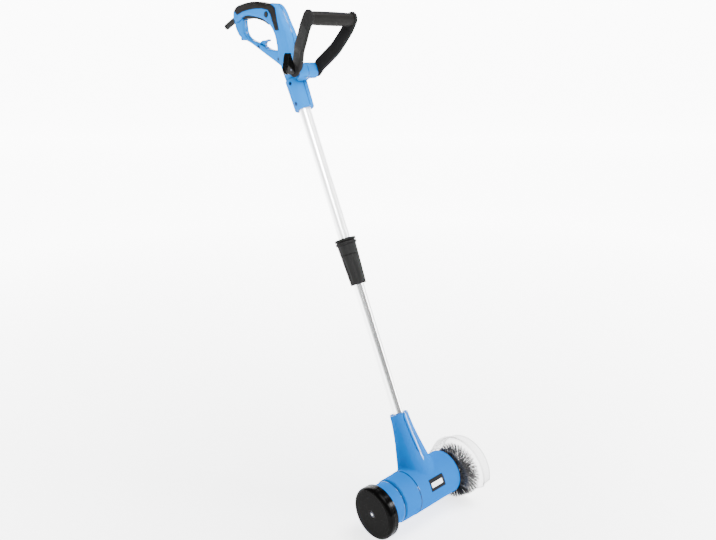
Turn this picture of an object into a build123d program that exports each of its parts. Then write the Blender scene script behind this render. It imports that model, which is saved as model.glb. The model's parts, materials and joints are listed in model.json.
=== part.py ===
from build123d import *
import os
from math import acos, cos, degrees, pi, radians, sin, sqrt, tan

# Electric weed brush, in mm. Every piece is built upright: X runs along the motor axis from the wheel to the
# brush, Y points to the user, Z runs up the pole, and zero is where the pole meets the motor axis.
# The finished pieces are leaned back to the working posture, with the origin in the middle of the rear grip.

# Fits
fit_gap = 0.05
side_gap = 0.3
over = 1.0
far = 600.0

# Pole
pole_lean = 25.8
upper_tube_d = 28.0
tube_wall = 1.2
tube_slide_gap = 0.3
lower_tube_bare = 308.0
upper_tube_bare = 321.0
socket_depth = 84.0
neck_depth = 74.0
tube_overlap = 130.0
bush_flange = 8.0
bush_spigot = 18.0
lead_r = 3.4
lead_reach = 110.0
lead_slide_gap = 0.8
coil_r = 9.0
coil_length = 112.0
coil_top_gap = 6.0
lead_offset = 5.0
lead_tail = 12.0
lead_clear = 1.5

# Twist clamp
clamp_length = 109.0
collar_height = 13.0
collar_r = 24.8
collar_waist = 3.4
collar_groove_w = 2.6
thread_wall = 3.0
thread_length = 44.0
sleeve_bottom_r = 18.2
sleeve_top_r = 22.4
sleeve_lip = 7.0
collet_wall = 1.35
collet_slots = 4
collet_slot_w = 2.0
collet_slot_share = 0.7
flute_count = 6
flute_r = 9.0
flute_depth = 2.2
flute_middle = 28.0
flute_half = 37.0
sleeve_line = 70.0
sleeve_line_w = 1.2
sleeve_line_depth = 0.8

# Rear handle: outlines are (Y, Z) places from the bottom of the socket
casing_half = 16.5
casing_round = 8.0
casing_wall = 2.6
skin = 2.0
socket_bottom_r = 23.2
socket_top_r = 25.2
socket_height = 68.0
socket_skirt = 5.0
socket_round = 3.0
column_foot = 46.0
column_outline = [
    (-21.0, column_foot), (-25.0, 80.0), (-29.5, 118.0), (-35.0, 150.0), (-36.5, 170.0), (-33.0, 192.0),
    (-29.5, 222.0), (-18.0, 248.0), (4.0, 259.5), (32.0, 279.0), (68.0, 298.0), (104.0, 311.0),
    (127.0, 314.0), (141.0, 305.0), (144.5, 291.0), (135.0, 281.0), (112.0, 280.0), (66.0, 259.5),
    (38.5, 239.0), (19.0, 214.0), (11.0, 190.0), (12.5, 166.0), (19.5, 140.0), (22.5, 112.0),
    (21.5, 80.0), (20.0, column_foot),
]
skin_outline = [
    (136.0, 335.0), (130.0, 312.0), (122.0, 293.0), (97.0, 288.5), (68.0, 278.5), (45.0, 268.5),
    (22.0, 256.5), (4.0, 243.5), (-1.5, 230.0), (-0.5, 212.0), (-0.5, 190.5), (-14.0, 183.5),
    (-18.0, 208.0), (-22.0, 226.0), (-22.0, 234.0), (-17.0, 242.0), (-11.0, 249.0), (0.0, 275.0),
    (20.0, 335.0),
]
loop_half = 9.0
loop_round = 3.0
loop_outer = [
    (138.0, 300.0), (150.5, 290.0), (154.0, 276.0), (152.0, 260.0), (145.5, 246.0), (127.0, 228.0),
    (91.0, 189.0), (68.0, 162.0), (43.0, 133.0), (20.0, 104.0),
]
nub_place = (144.5, 242.5)
nub_r = 4.5
loop_inner = [
    (12.0, 138.0), (29.0, 155.0), (53.0, 169.5), (76.0, 192.0), (101.0, 214.0), (120.0, 233.0),
    (126.0, 248.0), (124.0, 262.0), (116.0, 284.0),
]
hook_half = 3.0
hook_outline = [
    (84.0, 200.0), (76.0, 202.0), (66.0, 199.0), (56.0, 195.0), (48.0, 191.8), (47.5, 188.8), (57.0, 190.8),
    (63.0, 190.5), (66.0, 186.0), (66.0, 177.0), (75.0, 183.0), (82.0, 191.0),
]
grip_centre = (68.0, 274.0)
grip_slope = 25.0
cavity_floor = 92.0

# Screws of the rear handle: (Y, Z) places from the bottom of the socket
screw_r = 2.0
screw_head_r = 3.6
screw_head = 2.6
screw_seat = 1.4
screw_boss = 2.2
tube_screw_reach = 3.0
loop_screw_end = 3.0
column_screw_end = 5.0
tube_screw_places = [(-2.2, 8.5), (-5.0, 57.0)]
loop_screw_places = [(20.6, 129.3), (87.0, 192.0)]

# Trigger and lock-off button
trigger_outline = [
    (25.0, 227.0), (26.0, 217.5), (39.0, 232.5), (57.0, 247.5), (75.0, 259.0), (94.0, 269.5), (112.0, 276.5),
    (118.0, 285.0), (112.0, 290.5), (96.0, 286.0), (66.0, 270.5), (42.0, 253.0),
]
trigger_half = 8.5
trigger_slot_gap = 0.7
trigger_pivot = (109.0, 284.0)
trigger_pin_r = 2.0
trigger_travel = 4.0
trigger_steps = 4
post_along = 8.0
post_r = 2.0
post_low = -8.0
switch_length = 30.0
switch_height = 13.0
switch_low = 2.4
switch_port = 6.0
switch_port_gap = 1.5
lock_place = (13.0, 236.5)
lock_r = 6.2
lock_proud = 2.2
lock_flange = 1.3
lock_flange_h = 1.6
lock_stem = 6.0
capacitor_y = -6.0
capacitor_rise = 20.0
capacitor_depth = 17.0
capacitor_height = 26.0

# Cord sleeve
sleeve_base_place = (134.0, 297.0)
cord_sleeve_tilt = 4.0
cord_sleeve_length = 66.0
cord_sleeve_r = 7.2
cord_bore_r = 3.7
cord_sleeve_flange = 4.0
cord_sleeve_flange_r = 9.2
cord_sleeve_room = 30.0
cord_clamp_place = (125.0, 288.8)
cord_clamp_depth = 9.0
cord_clamp_height = 4.0

# Front handle
pivot_place = (-45.0, 72.5)
boss_rise = 18.0
boss_depth = 9.0
boss_round = 13.0
boss_half = 27.0
web_half = 14.0
web_round = 5.0
web_rise = 12.0
disc_t = 2.0
disc_r = 13.5
arm_t = 8.0
arm_w = 32.0
arm_round = 2.5
arm_length = 138.0
arm_bend_along = 60.0
arm_bend_out = 51.8
arm_bow = 4.4
arm_top_out = 61.2
arm_cap = 17.5
arm_flat = 6.0
arm_bend_round = 12.0
arm_curve = 60.0
front_handle_angle = 65.5
bar_r = 10.0
front_grip_r = 14.8
front_grip_end_r = 14.0
bolt_r = 4.0
nut_af = 13.0
nut_t = 5.0
nut_pocket = 4.0
washer_t = 1.6
washer_r = 8.0

# Clamp lever
eye_r = 6.5
eye_half = 4.0
eye_out = 11.0
lever_pin_r = 2.5
lever_cheek = 5.5
lever_hub_r = 10.5
lever_lean = pole_lean
lever_length = 36.0
lever_foot = 4.5
lever_root = 10.0
lever_tip = 4.0
lever_tip_out = 5.0
lever_tip_in = 2.0
lever_soft = 1.5

# Motor head, along X
seam_x = -50.0
housing_end_x = 80.0
housing_r = 50.4
housing_wall = 3.0
cap_length = 46.5
cap_end_r = 49.0
cap_round = 4.0
seam_step = 0.5
seam_groove_w = 1.0
seam_groove_depth = 1.2
housing_round = 2.5
carrier_ring_length = 32.7
carrier_ring_r = 47.0
carrier_ring_face_r = 45.5
carrier_groove = 2.5
carrier_groove_depth = 3.0
carrier_edge = 2.0
carrier_wall = 3.0
axle_boss_r = 9.0
neck_height = 168.0
neck_top_r = 21.3
neck_mid_r = 28.6
neck_mid = 104.0
neck_low_r = 36.5
neck_low = 64.0
neck_foot = 18.0
neck_wall = 3.2
neck_round = 9.0
neck_rib_half = 6.5
neck_rib_proud = 1.6
neck_rib_low = 84.0
neck_rib_top = 160.0
cover_t = 4.0
cover_r = 48.0

# Wheel
wheel_r = 57.7
wheel_w = 24.4
wheel_drop = 4.0
wheel_gap = 0.8
wheel_shoulder = 8.0
wheel_groove_w = 2.0
wheel_groove_share = 0.6
wheel_groove_depth = 1.2
wheel_web = 5.0
wheel_rim = 6.0
wheel_hub_r = 15.0
wheel_ribs = 8
wheel_rib_t = 3.0
wheel_recess_r = 7.5
wheel_recess = 2.0
axle_r = 4.0
axle_head_r = 6.2
axle_head = 3.0
axle_head_sunk = 1.5
axle_slot = 1.2
axle_slot_w = 1.4
wheel_bush_wall = 2.5

# Motor
shaft_r = 4.0
stator_x = -36.0
stator_length = 48.0
stator_r = 43.0
stator_yoke = 6.0
stator_ring_w = 10.0
air_gap = 0.6
armature_r = 24.5
pole_half_angle = 50.0
coil_half_angle = 76.0
coil_end = 8.0
coil_gap = 2.0
coil_gap_angle = 0.6
armature_slots = 12
slot_w = 2.8
slot_depth = 9.0
slot_fill = 3.5
slot_fill_gap = 0.5
winding_r = 21.0
winding_end = 9.0
winding_core = 3.0
winding_soft = 2.5
winding_gap = 2.0
commutator_r = 13.0
commutator_length = 16.0
slit_w = 0.6
slit_depth = 1.5
fan_r = 38.0
fan_hub_r = 10.0
fan_t = 2.0
fan_depth = 9.0
fan_blades = 11
fan_blade_t = 1.8
bearing_r = 11.0
bearing_w = 7.0
brush_holder_w = 11.0
brush_holder_h = 13.0
carbon_w = 6.5
carbon_h = 9.0
carbon_length = 18.0
holder_gap = 2.0
holder_out = 4.0
holder_spring = 8.0

# Internal gear: the motor's pinion runs inside a toothed ring on the spindle, whose axis lies lower
gear_module = 1.25
pinion_teeth = 12
ring_teeth = 32
gear_width = 15.0
gear_backlash = 0.24
tooth_tip = 0.85 * gear_module
tooth_root = 1.2 * gear_module
ring_tooth_tip = 0.55 * gear_module
tooth_angle = 20.0
ring_wall = 4.0
ring_room = 1.0
case_wall = 8.0
case_shaft_gap = 2.0
gear_play = 1.5
carrier_t = 5.0

# Spindle, brush and guard
journal_r = 7.5
spindle_bearing_r = 17.5
spindle_bearing_w = 10.0
bearing_boss_wall = 4.0
brush_seat_r = 6.0
thread_r = 5.0
spindle_tip_r = 4.2
brush_nut_af = 17.0
brush_nut_t = 8.0
spindle_free_end = 7.0
hub_r = 24.0
hub_length = 42.0
hub_gap = 4.5
hub_dish = 6.0
hub_dish_r = 12.0
hub_rim = 3.0
hub_dish_slope = 2.0
bristle_backing = 3.0
bristle_near_r = 55.0
bristle_r = 63.0
bristle_rows = 11
bristles_per_row = 38
strand_t = 1.7
guard_t = 2.0
guard_flange_in_r = 42.0
guard_start_r = 66.0
guard_ridge_r = 80.8
guard_ridge = 3.0
guard_ridge_at = 40.5
guard_step_r = 76.5
guard_end_r = 73.3
guard_length = 70.0
guard_front_angle = -6.0
guard_back_angle = 190.0
guard_screw_count = 3
guard_screw_step = 50.0
guard_screw_r = 2.0
housing_screw_count = 4
housing_screw_first = 45.0
housing_screw_short = 4.0

# Places that follow from the sizes above
upper_r = upper_tube_d / 2
upper_bore_r = upper_r - tube_wall
lower_r = upper_bore_r - tube_slide_gap
lower_bore_r = lower_r - tube_wall
clamp_bottom = neck_height + lower_tube_bare
clamp_top = clamp_bottom + clamp_length
socket_bottom = clamp_top + upper_tube_bare
upper_tube_bottom = clamp_top - collar_height - thread_length
upper_tube_top = socket_bottom + socket_depth
lower_tube_bottom = neck_height - neck_depth
lower_tube_top = upper_tube_bottom + tube_overlap
cap_end_x = seam_x - cap_length
ring_face_x = cap_end_x - carrier_ring_length
wheel_back_x = ring_face_x - wheel_gap
wheel_face_x = wheel_back_x - wheel_w
housing_bore_r = housing_r - housing_wall
housing_screw_out = housing_bore_r - 2 * screw_r
stator_end_x = stator_x + stator_length
ring_r = gear_module * ring_teeth / 2
spindle_drop = gear_module * (ring_teeth - pinion_teeth) / 2
ring_outer_r = ring_r + tooth_root + ring_wall
cover_face_x = housing_end_x + cover_t
spindle_bearing_x = housing_end_x - spindle_bearing_w
carrier_x = spindle_bearing_x - gear_play - carrier_t
gear_end_x = carrier_x - gear_play
gear_x = gear_end_x - gear_width
case_x = gear_x - gear_play - case_wall
hub_x = cover_face_x + hub_gap
hub_end_x = hub_x + hub_length
nut_end_x = hub_end_x + brush_nut_t
spindle_end_x = nut_end_x + spindle_free_end
sleeve_r_slope = (sleeve_top_r - sleeve_bottom_r) / (clamp_length - collar_height)
arm_inner_x = boss_half + disc_t
arm_outer_x = arm_inner_x + arm_t
grip_y, grip_z = grip_centre
casing_room = casing_half - skin - casing_wall

handle_at = Pos(0, 0, socket_bottom)
grip_at = Pos(0, *grip_centre) * Rot(X=grip_slope)
front_handle_at = handle_at * Pos(0, *pivot_place) * Rot(X=front_handle_angle)
lever_at = handle_at * Pos(0, *pivot_place) * Rot(X=lever_lean)
spindle_at = Pos(0, 0, -spindle_drop)
wheel_at = Pos(0, 0, -wheel_drop)
place = Rot(X=-pole_lean) * Pos(0, -grip_y, -socket_bottom - grip_z)


# Plain forms

def rod_x(radius, x0, x1, y=0.0, z=0.0):
    bar = Cylinder(radius, x1 - x0, align=(Align.CENTER, Align.CENTER, Align.MIN))
    return Pos(x0, y, z) * Rot(Y=90) * bar


def tube_x(outer_r, inner_r, x0, x1):
    return rod_x(outer_r, x0, x1) - rod_x(inner_r, x0 - 1, x1 + 1)


def rod_z(radius, z0, z1, x=0.0, y=0.0):
    return Pos(x, y, z0) * Cylinder(radius, z1 - z0, align=(Align.CENTER, Align.CENTER, Align.MIN))


def tube_z(outer_r, inner_r, z0, z1):
    return rod_z(outer_r, z0, z1) - rod_z(inner_r, z0 - 1, z1 + 1)


def rod_y(radius, y0, y1, x=0.0, z=0.0):
    bar = Cylinder(radius, y1 - y0, align=(Align.CENTER, Align.CENTER, Align.MIN))
    return Pos(x, y0, z) * Rot(X=-90) * bar


def block(x0, x1, y0, y1, z0, z1):
    return Pos((x0 + x1) / 2, (y0 + y1) / 2, (z0 + z1) / 2) * Box(x1 - x0, y1 - y0, z1 - z0)


def turn_x(points, start=0.0, sweep=360.0):
    face = make_face(Polyline(*points, close=True))
    return revolve(Rot(X=start) * face, Axis.X, sweep)


def turn_z(points):
    face = Plane.XZ * make_face(Polyline(*points, close=True))
    return revolve(face, Axis.Z, 360)


def slab(face, x0, x1):
    return extrude(Plane.YZ.offset(x0) * face, x1 - x0)


def hex_nut(across_flats, bore_r, x0, x1):
    body = slab(RegularPolygon(across_flats / sqrt(3), 6), x0, x1)
    return body - rod_x(bore_r, x0 - 1, x1 + 1)


def group(shapes):
    return Compound([solid for shape in shapes for solid in shape.solids()])


def around_x(shape, count, first=0.0):
    return [Rot(X=first + 360 * k / count) * shape for k in range(count)]


def ring_sector(inner_r, outer_r, half_angle, x0, x1):
    points = [(x0, inner_r), (x1, inner_r), (x1, outer_r), (x0, outer_r)]
    return turn_x(points, 90 - half_angle, 2 * half_angle)


# Rear handle

def column_face(inset=0.0):
    side = Spline(*column_outline)
    steps = 2 * len(column_outline)
    points = []
    for k in range(steps + 1):
        way = side % (k / steps)
        points.append(side @ (k / steps) + inset * Vector(way.Y, -way.X))
    return make_face([Spline(*points), Line(points[-1], points[0])])


def rounded_slab(face, half, radius):
    body = slab(face, -half, half)
    rims = [e for e in body.edges() if e.geom_type != GeomType.LINE and abs(abs(e.center().X) - half) < 0.01]
    return fillet(rims, radius)


def loop_body():
    outer = Spline(*loop_outer)
    inner = Spline(*loop_inner)
    foot = Line(loop_outer[-1], loop_inner[0])
    head = Line(loop_inner[-1], loop_outer[0])
    return rounded_slab(make_face([outer, foot, inner, head]), loop_half, loop_round)


def socket_body():
    low = -socket_skirt
    cone = turn_z([(0, low), (socket_bottom_r, low), (socket_top_r, socket_height), (0, socket_height)])
    return fillet(cone.edges().sort_by(Axis.Z)[0], socket_round)


def pivot_boss():
    y, z = pivot_place
    boss = block(-boss_half, boss_half, y - boss_depth, y + boss_rise, z - boss_rise, z + boss_rise)
    boss = fillet(boss.edges().filter_by(Axis.X), boss_round)
    web = block(-web_half, web_half, y, 0, z - boss_rise, z + web_rise)
    web = fillet(web.edges().filter_by(Axis.Y), web_round)
    return boss + web


def casing_outer():
    hook = slab(make_face(Spline(*hook_outline, periodic=True)), -hook_half, hook_half)
    body = rounded_slab(column_face(), casing_half, casing_round) + socket_body()
    nub = rod_x(nub_r, -loop_half + loop_round, loop_half - loop_round, *nub_place)
    return body + pivot_boss() + loop_body() + nub + hook


def casing_core():
    return rounded_slab(column_face(skin), casing_half - skin, casing_round - skin)


def casing_cavity():
    hollow = slab(column_face(skin + casing_wall), -casing_room, casing_room)
    return hollow & block(-casing_half, casing_half, -far, far, cavity_floor, far)


def skin_prism():
    return slab(make_face(Polyline(*skin_outline, close=True)), -2 * casing_half, 2 * casing_half)


def screw_form(head_x, neck_x, tip_x, gap=0.0):
    head_r = screw_head_r + gap
    shank_r = screw_r + gap
    return turn_x([
        (head_x, 0), (head_x, head_r), (neck_x, head_r), (neck_x, shank_r), (tip_x, shank_r), (tip_x, 0),
    ])


def screw_at(y, z, head_x, tip_x):
    return Pos(0, y, z) * screw_form(head_x, head_x + screw_head, tip_x)


def screw_room(y, z, head_x, tip_x):
    neck_x = head_x + screw_head + fit_gap
    return Pos(0, y, z) * screw_form(head_x - 2 * casing_half, neck_x, tip_x + fit_gap, fit_gap)


def handle_screw_forms(form):
    seat_r = socket_bottom_r - screw_seat
    tip_x = tube_screw_reach - upper_bore_r
    left = [form(y, z, -sqrt(seat_r ** 2 - y ** 2), tip_x) for y, z in tube_screw_places]
    right = [mirror(shape, Plane.YZ) for shape in left]
    column_place, loop_place = loop_screw_places
    column = form(*column_place, screw_seat - casing_half, casing_half - column_screw_end)
    loop = form(*loop_place, screw_seat - loop_half, loop_half - loop_screw_end)
    return left + right + [column, loop]


def sleeve_axis_at():
    return Pos(0, *sleeve_base_place) * Rot(X=cord_sleeve_tilt)


def trigger_face():
    return make_face(Polyline(*trigger_outline, close=True))


def trigger_pivot_rod(radius, half):
    return rod_x(radius, -half, half, *trigger_pivot)


def trigger_room():
    half = trigger_half + trigger_slot_gap
    room = slab(offset(trigger_face(), 2 * trigger_slot_gap), -half, half)
    pivot = Pos(0, *trigger_pivot)
    swept = room
    for step in range(1, trigger_steps + 1):
        swept = swept + pivot * Rot(X=-trigger_travel * step / trigger_steps) * pivot.inverse() * room
    return swept


def lock_room():
    y, z = lock_place
    return rod_x(lock_r + fit_gap, -2 * casing_half, 0, y, z)


def tube_room():
    return rod_z(upper_r + fit_gap, -socket_skirt - 1, socket_depth + 1)


def casing_halves():
    solid = casing_outer() - (skin_prism() - casing_core())
    solid = solid - casing_cavity() - tube_room() - trigger_room() - lock_room()
    solid = solid - rod_z(lead_r + fit_gap, socket_depth, cavity_floor + 1, 0, lead_offset)
    solid = solid - rod_x(bolt_r + fit_gap, -2 * boss_half, 2 * boss_half, *pivot_place)
    solid = solid + trigger_bosses() - trigger_pivot_rod(trigger_pin_r + fit_gap, casing_half - skin - 1)
    for room in handle_screw_forms(screw_room):
        solid = solid - room
    bore = sleeve_axis_at() * rod_y(cord_sleeve_r + fit_gap, -over, cord_sleeve_length)
    seat_r = cord_sleeve_flange_r + fit_gap
    seat = sleeve_axis_at() * rod_y(seat_r, -cord_sleeve_room, cord_sleeve_flange + fit_gap)
    solid = solid - bore - seat
    left = solid & block(-far, 0, -far, far, -far, far)
    right = solid & block(0, far, -far, far, -far, far)
    return left, right


def trigger_bosses():
    inner = trigger_half + trigger_slot_gap
    y, z = trigger_pivot
    wall = 2 * trigger_pin_r
    return rod_x(wall, inner, casing_room + 1, y, z) + rod_x(wall, -casing_room - 1, -inner, y, z)


def grip_overmould():
    outer = rounded_slab(column_face(), casing_half, casing_round)
    return (outer - casing_core()) & skin_prism()


def trigger():
    body = slab(trigger_face(), -trigger_half, trigger_half)
    body = body + grip_at * rod_z(post_r, post_low, switch_low - side_gap, 0, post_along)
    return body - trigger_pivot_rod(trigger_pin_r + fit_gap, casing_half)


def lock_button():
    y, z = lock_place
    stem = rod_x(lock_r, -casing_half - lock_proud, -casing_room + lock_stem, y, z)
    flange_x = side_gap - casing_room
    flange = rod_x(lock_r + lock_flange, flange_x, flange_x + lock_flange_h, y, z)
    return stem + flange


def mains_switch():
    half_w = casing_room - fit_gap
    half_l = switch_length / 2
    body = block(-half_w, half_w, -half_l, half_l, switch_low, switch_low + switch_height)
    port = rod_z(post_r + switch_port_gap, switch_low - over, switch_low + switch_port, 0, post_along)
    return grip_at * (body - port)


def capacitor():
    half_w = casing_room - fit_gap
    half_d = capacitor_depth / 2
    low = cavity_floor + capacitor_rise
    return block(-half_w, half_w, capacitor_y - half_d, capacitor_y + half_d, low, low + capacitor_height)


def cord_clamp():
    half_w = casing_room - fit_gap
    y, z = cord_clamp_place
    half_d = cord_clamp_depth / 2
    half_h = cord_clamp_height / 2
    return block(-half_w, half_w, y - half_d, y + half_d, z - half_h, z + half_h)


def cord_sleeve():
    body = rod_y(cord_sleeve_r, 0, cord_sleeve_length)
    flange = rod_y(cord_sleeve_flange_r, 0, cord_sleeve_flange)
    return sleeve_axis_at() * (body + flange - rod_y(cord_bore_r, -1, cord_sleeve_length + 1))


def upper_tube():
    body = tube_z(upper_r, upper_bore_r, upper_tube_bottom, upper_tube_top)
    for y, z in tube_screw_places:
        body = body - rod_x(screw_r + fit_gap, -2 * upper_r, 2 * upper_r, y, socket_bottom + z)
    return body


# Twist clamp

def clamp_collar():
    low = upper_tube_bottom
    mid = clamp_top - collar_height
    body = rod_z(upper_r + thread_wall, low, mid + 1) + rod_z(collar_r, mid, clamp_top)
    groove_low = mid + (collar_height - collar_groove_w) / 2
    body = body - tube_z(2 * collar_r, collar_r - collar_waist, groove_low, groove_low + collar_groove_w)
    return body - rod_z(upper_r, low - 1, clamp_top + 1)


def clamp_collet():
    bore = lower_r + fit_gap
    low = clamp_bottom + sleeve_lip + side_gap
    body = tube_z(bore + collet_wall, bore, low, upper_tube_bottom)
    slot_top = low + collet_slot_share * (upper_tube_bottom - low)
    slot = block(-collet_slot_w / 2, collet_slot_w / 2, 0, 2 * upper_r, low - 1, slot_top)
    for k in range(collet_slots):
        body = body - Rot(Z=360 * k / collet_slots) * slot
    return body


def clamp_sleeve():
    low = clamp_bottom
    lip_top = low + sleeve_lip
    top = clamp_top - collar_height - side_gap
    lip_r = lower_r + side_gap
    collet_room_r = lower_r + fit_gap + collet_wall + side_gap
    thread_room_r = upper_r + thread_wall + side_gap
    step = upper_tube_bottom - side_gap
    body = turn_z([
        (lip_r, low), (sleeve_bottom_r, low), (sleeve_top_r, top), (thread_room_r, top),
        (thread_room_r, step), (collet_room_r, step), (collet_room_r, lip_top), (lip_r, lip_top),
    ])
    line_r = sleeve_bottom_r + sleeve_r_slope * sleeve_line - sleeve_line_depth
    line_low = low + sleeve_line
    body = body - tube_z(2 * sleeve_top_r, line_r, line_low, line_low + sleeve_line_w)
    sweep_r = (flute_half ** 2 + flute_depth ** 2) / (2 * flute_depth)
    flute = Pos(sweep_r, 0, 0) * Rot(X=90) * Torus(sweep_r - flute_r, flute_r)
    flute_in = sleeve_bottom_r + sleeve_r_slope * flute_middle - flute_depth
    flute = Pos(flute_in, 0, low + flute_middle) * Rot(Y=degrees(sleeve_r_slope)) * flute
    for k in range(flute_count):
        body = body - Rot(Z=360 * k / flute_count) * flute
    return body


# Lower pole

def lower_tube():
    body = tube_z(lower_r, lower_bore_r, lower_tube_bottom, lower_tube_top)
    return body - rod_y(screw_r + fit_gap, 0, 2 * lower_r, 0, neck_screw_place())


def tube_guide_bush():
    spigot = rod_z(lower_bore_r - fit_gap, lower_tube_top - bush_spigot, lower_tube_top)
    flange = rod_z(upper_bore_r - fit_gap, lower_tube_top, lower_tube_top + bush_flange)
    return spigot + flange - rod_z(lead_r + fit_gap, 0, 2 * lower_tube_top)


def lower_lead():
    return rod_z(lead_r, stator_r + lead_clear, lower_tube_top + bush_flange + lead_reach)


def coiled_lead():
    top = upper_tube_top - coil_top_gap
    coil = tube_z(coil_r, lead_r + lead_slide_gap, top - coil_length, top)
    cap = rod_z(coil_r, top - lead_r, top)
    return coil + cap + rod_z(lead_r, top - 1, socket_bottom + cavity_floor + lead_tail, 0, lead_offset)


# Motor head

def neck_profile(inset):
    top = (neck_top_r - inset, neck_height)
    mid = (neck_mid_r - inset, neck_mid)
    low = (neck_low_r - inset, neck_low)
    slope = (neck_low_r - neck_mid_r) / (neck_mid - neck_low)
    foot = (low[0] + slope * (neck_low - neck_foot), neck_foot)
    return Spline(top, mid, low, foot)


def neck_body(inset, low, top):
    side = neck_profile(inset)
    core = Polyline(side @ 1, (0, neck_foot), (0, neck_height), side @ 0)
    body = revolve(Plane.XZ * make_face([side, core]), Axis.Z, 360)
    return body & rod_z(2 * housing_r, low, top)


def neck_rib():
    strip = block(-neck_rib_half, neck_rib_half, -2 * housing_r, 0, neck_rib_low, neck_rib_top)
    ends = [rod_y(neck_rib_half, -2 * housing_r, 0, 0, z) for z in (neck_rib_low, neck_rib_top)]
    shape = strip + ends[0] + ends[1]
    return neck_body(-neck_rib_proud, neck_low, neck_height) & shape


def neck_screw_place():
    return neck_height - neck_depth / 3


def motor_housing():
    barrel = rod_x(housing_r, seam_x, housing_end_x)
    barrel = fillet(barrel.edges().group_by(Axis.X)[-1], housing_round)
    body = barrel + neck_body(0, neck_foot, neck_height)
    curves = [e for e in body.edges() if e.geom_type == GeomType.BSPLINE]
    body = fillet([e for e in curves if neck_foot < e.center().Z < neck_low], neck_round)
    body = body + neck_rib()
    body = body - rod_x(housing_bore_r, seam_x - 1, housing_end_x + 1)
    groove_r = housing_r - seam_groove_depth
    body = body - tube_x(2 * housing_r, groove_r, seam_x - over, seam_x + seam_groove_w)
    hollow = neck_body(neck_wall, neck_foot, lower_tube_bottom - 2 * neck_wall)
    body = body - hollow - rod_z(lower_r + fit_gap, lower_tube_bottom, neck_height + 1)
    body = body - rod_z(lead_r + fit_gap, 0, neck_height)
    ring_x = (stator_x + stator_end_x - stator_ring_w) / 2
    body = body + tube_x(housing_bore_r + over, stator_r + fit_gap, ring_x, ring_x + stator_ring_w)
    for boss in housing_screw_bosses(seam_x, stator_x - coil_end - over):
        body = body + (boss & rod_x(housing_r - over, seam_x, housing_end_x))
    for hole in housing_screw_shanks(fit_gap):
        body = body - hole
    y, z = neck_top_r, neck_screw_place()
    return body - rod_y(screw_r + fit_gap, 0, 2 * y, 0, z) - rod_y(screw_head_r + fit_gap, y, 3 * y, 0, z)


def housing_screw_bosses(x0, x1):
    boss = rod_x(screw_boss * screw_r, x0, x1, housing_screw_out)
    return around_x(boss, housing_screw_count, housing_screw_first)


def housing_screw_shanks(gap=0.0):
    x0 = cap_end_x + housing_wall
    x1 = stator_x - coil_end - housing_screw_short
    shank = rod_x(screw_r + gap, x0 - gap, x1 + gap, housing_screw_out)
    return around_x(shank, housing_screw_count, housing_screw_first)


def housing_screws():
    return group(housing_screw_shanks())


def end_cap():
    inner = housing_bore_r
    end_r = cap_end_r
    wall_x = cap_end_x + housing_wall
    shell = turn_x([
        (seam_x, inner), (seam_x, housing_r - seam_step), (cap_end_x + cap_round, end_r),
        (cap_end_x, end_r - cap_round), (cap_end_x, 0), (wall_x, 0),
        (wall_x, end_r - housing_wall - cap_round / 2), (wall_x + cap_round, inner - cap_round / 2),
    ])
    seat = rod_x(bearing_r + housing_wall, wall_x - 1, wall_x + bearing_w + 1)
    body = shell + seat - rod_x(bearing_r + fit_gap, wall_x + 1, wall_x + 2 * bearing_w)
    for boss in housing_screw_bosses(wall_x - 1, seam_x):
        body = body + (boss & rod_x(end_r - 1, cap_end_x, seam_x))
    for hole in housing_screw_shanks(fit_gap):
        body = body - hole
    return body


def wheel_carrier():
    open_x = cap_end_x
    face_wall = ring_face_x + carrier_wall
    groove_r = carrier_ring_r - carrier_groove_depth
    shell = turn_x([
        (open_x, groove_r - carrier_wall), (open_x, groove_r), (open_x - carrier_groove, groove_r),
        (open_x - carrier_groove, carrier_ring_r), (ring_face_x + carrier_edge, carrier_ring_face_r),
        (ring_face_x, carrier_ring_face_r - carrier_edge), (ring_face_x, 0), (face_wall, 0),
        (face_wall, carrier_ring_face_r - carrier_wall - over),
    ])
    boss = wheel_at * rod_x(axle_boss_r, face_wall - over, open_x)
    return shell + boss - wheel_at * rod_x(axle_r, ring_face_x - over, open_x + over)


def wheel_axle():
    seat_x = wheel_face_x + wheel_recess + axle_head_sunk
    head_x = seat_x - axle_head
    shank = rod_x(axle_r, seat_x - over, cap_end_x)
    head = rod_x(axle_head_r, head_x, seat_x)
    half = axle_slot_w / 2
    slot = block(head_x - over, head_x + axle_slot, -axle_head_r, axle_head_r, -half, half)
    return shank + head - slot


def wheel():
    face = wheel_face_x
    back = wheel_back_x
    groove_x = face + wheel_groove_share * wheel_w
    groove_r = wheel_r - wheel_groove_depth
    rim_r = wheel_r - wheel_rim
    recess = face + wheel_recess
    seat = recess + axle_head_sunk + side_gap
    head_r = axle_head_r + side_gap
    bush_r = axle_r + fit_gap + wheel_bush_wall
    web = face + wheel_web
    body = turn_x([
        (seat, bush_r), (seat, head_r), (recess, head_r), (recess, wheel_recess_r),
        (face, wheel_recess_r + over), (face, wheel_r), (groove_x, wheel_r), (groove_x, groove_r),
        (groove_x + wheel_groove_w, groove_r), (groove_x + wheel_groove_w, wheel_r),
        (back - over, wheel_r), (back, wheel_r - over), (back, rim_r), (web, rim_r),
        (web, wheel_hub_r), (back, wheel_hub_r), (back, bush_r),
    ])
    face_edges = [e for e in body.edges() if abs(e.bounding_box().max.X - face) < 0.01]
    body = fillet(max(face_edges, key=lambda e: e.length), wheel_shoulder)
    half = wheel_rib_t / 2
    rib = block(web - over, back - 2 * over, wheel_hub_r - over, rim_r + over, -half, half)
    for turned in around_x(rib, wheel_ribs):
        body = body + turned
    return body


def wheel_bush():
    seat = wheel_face_x + wheel_recess + axle_head_sunk + side_gap
    inner = axle_r + fit_gap
    return tube_x(inner + wheel_bush_wall, inner, seat, wheel_back_x)


# Motor

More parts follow.
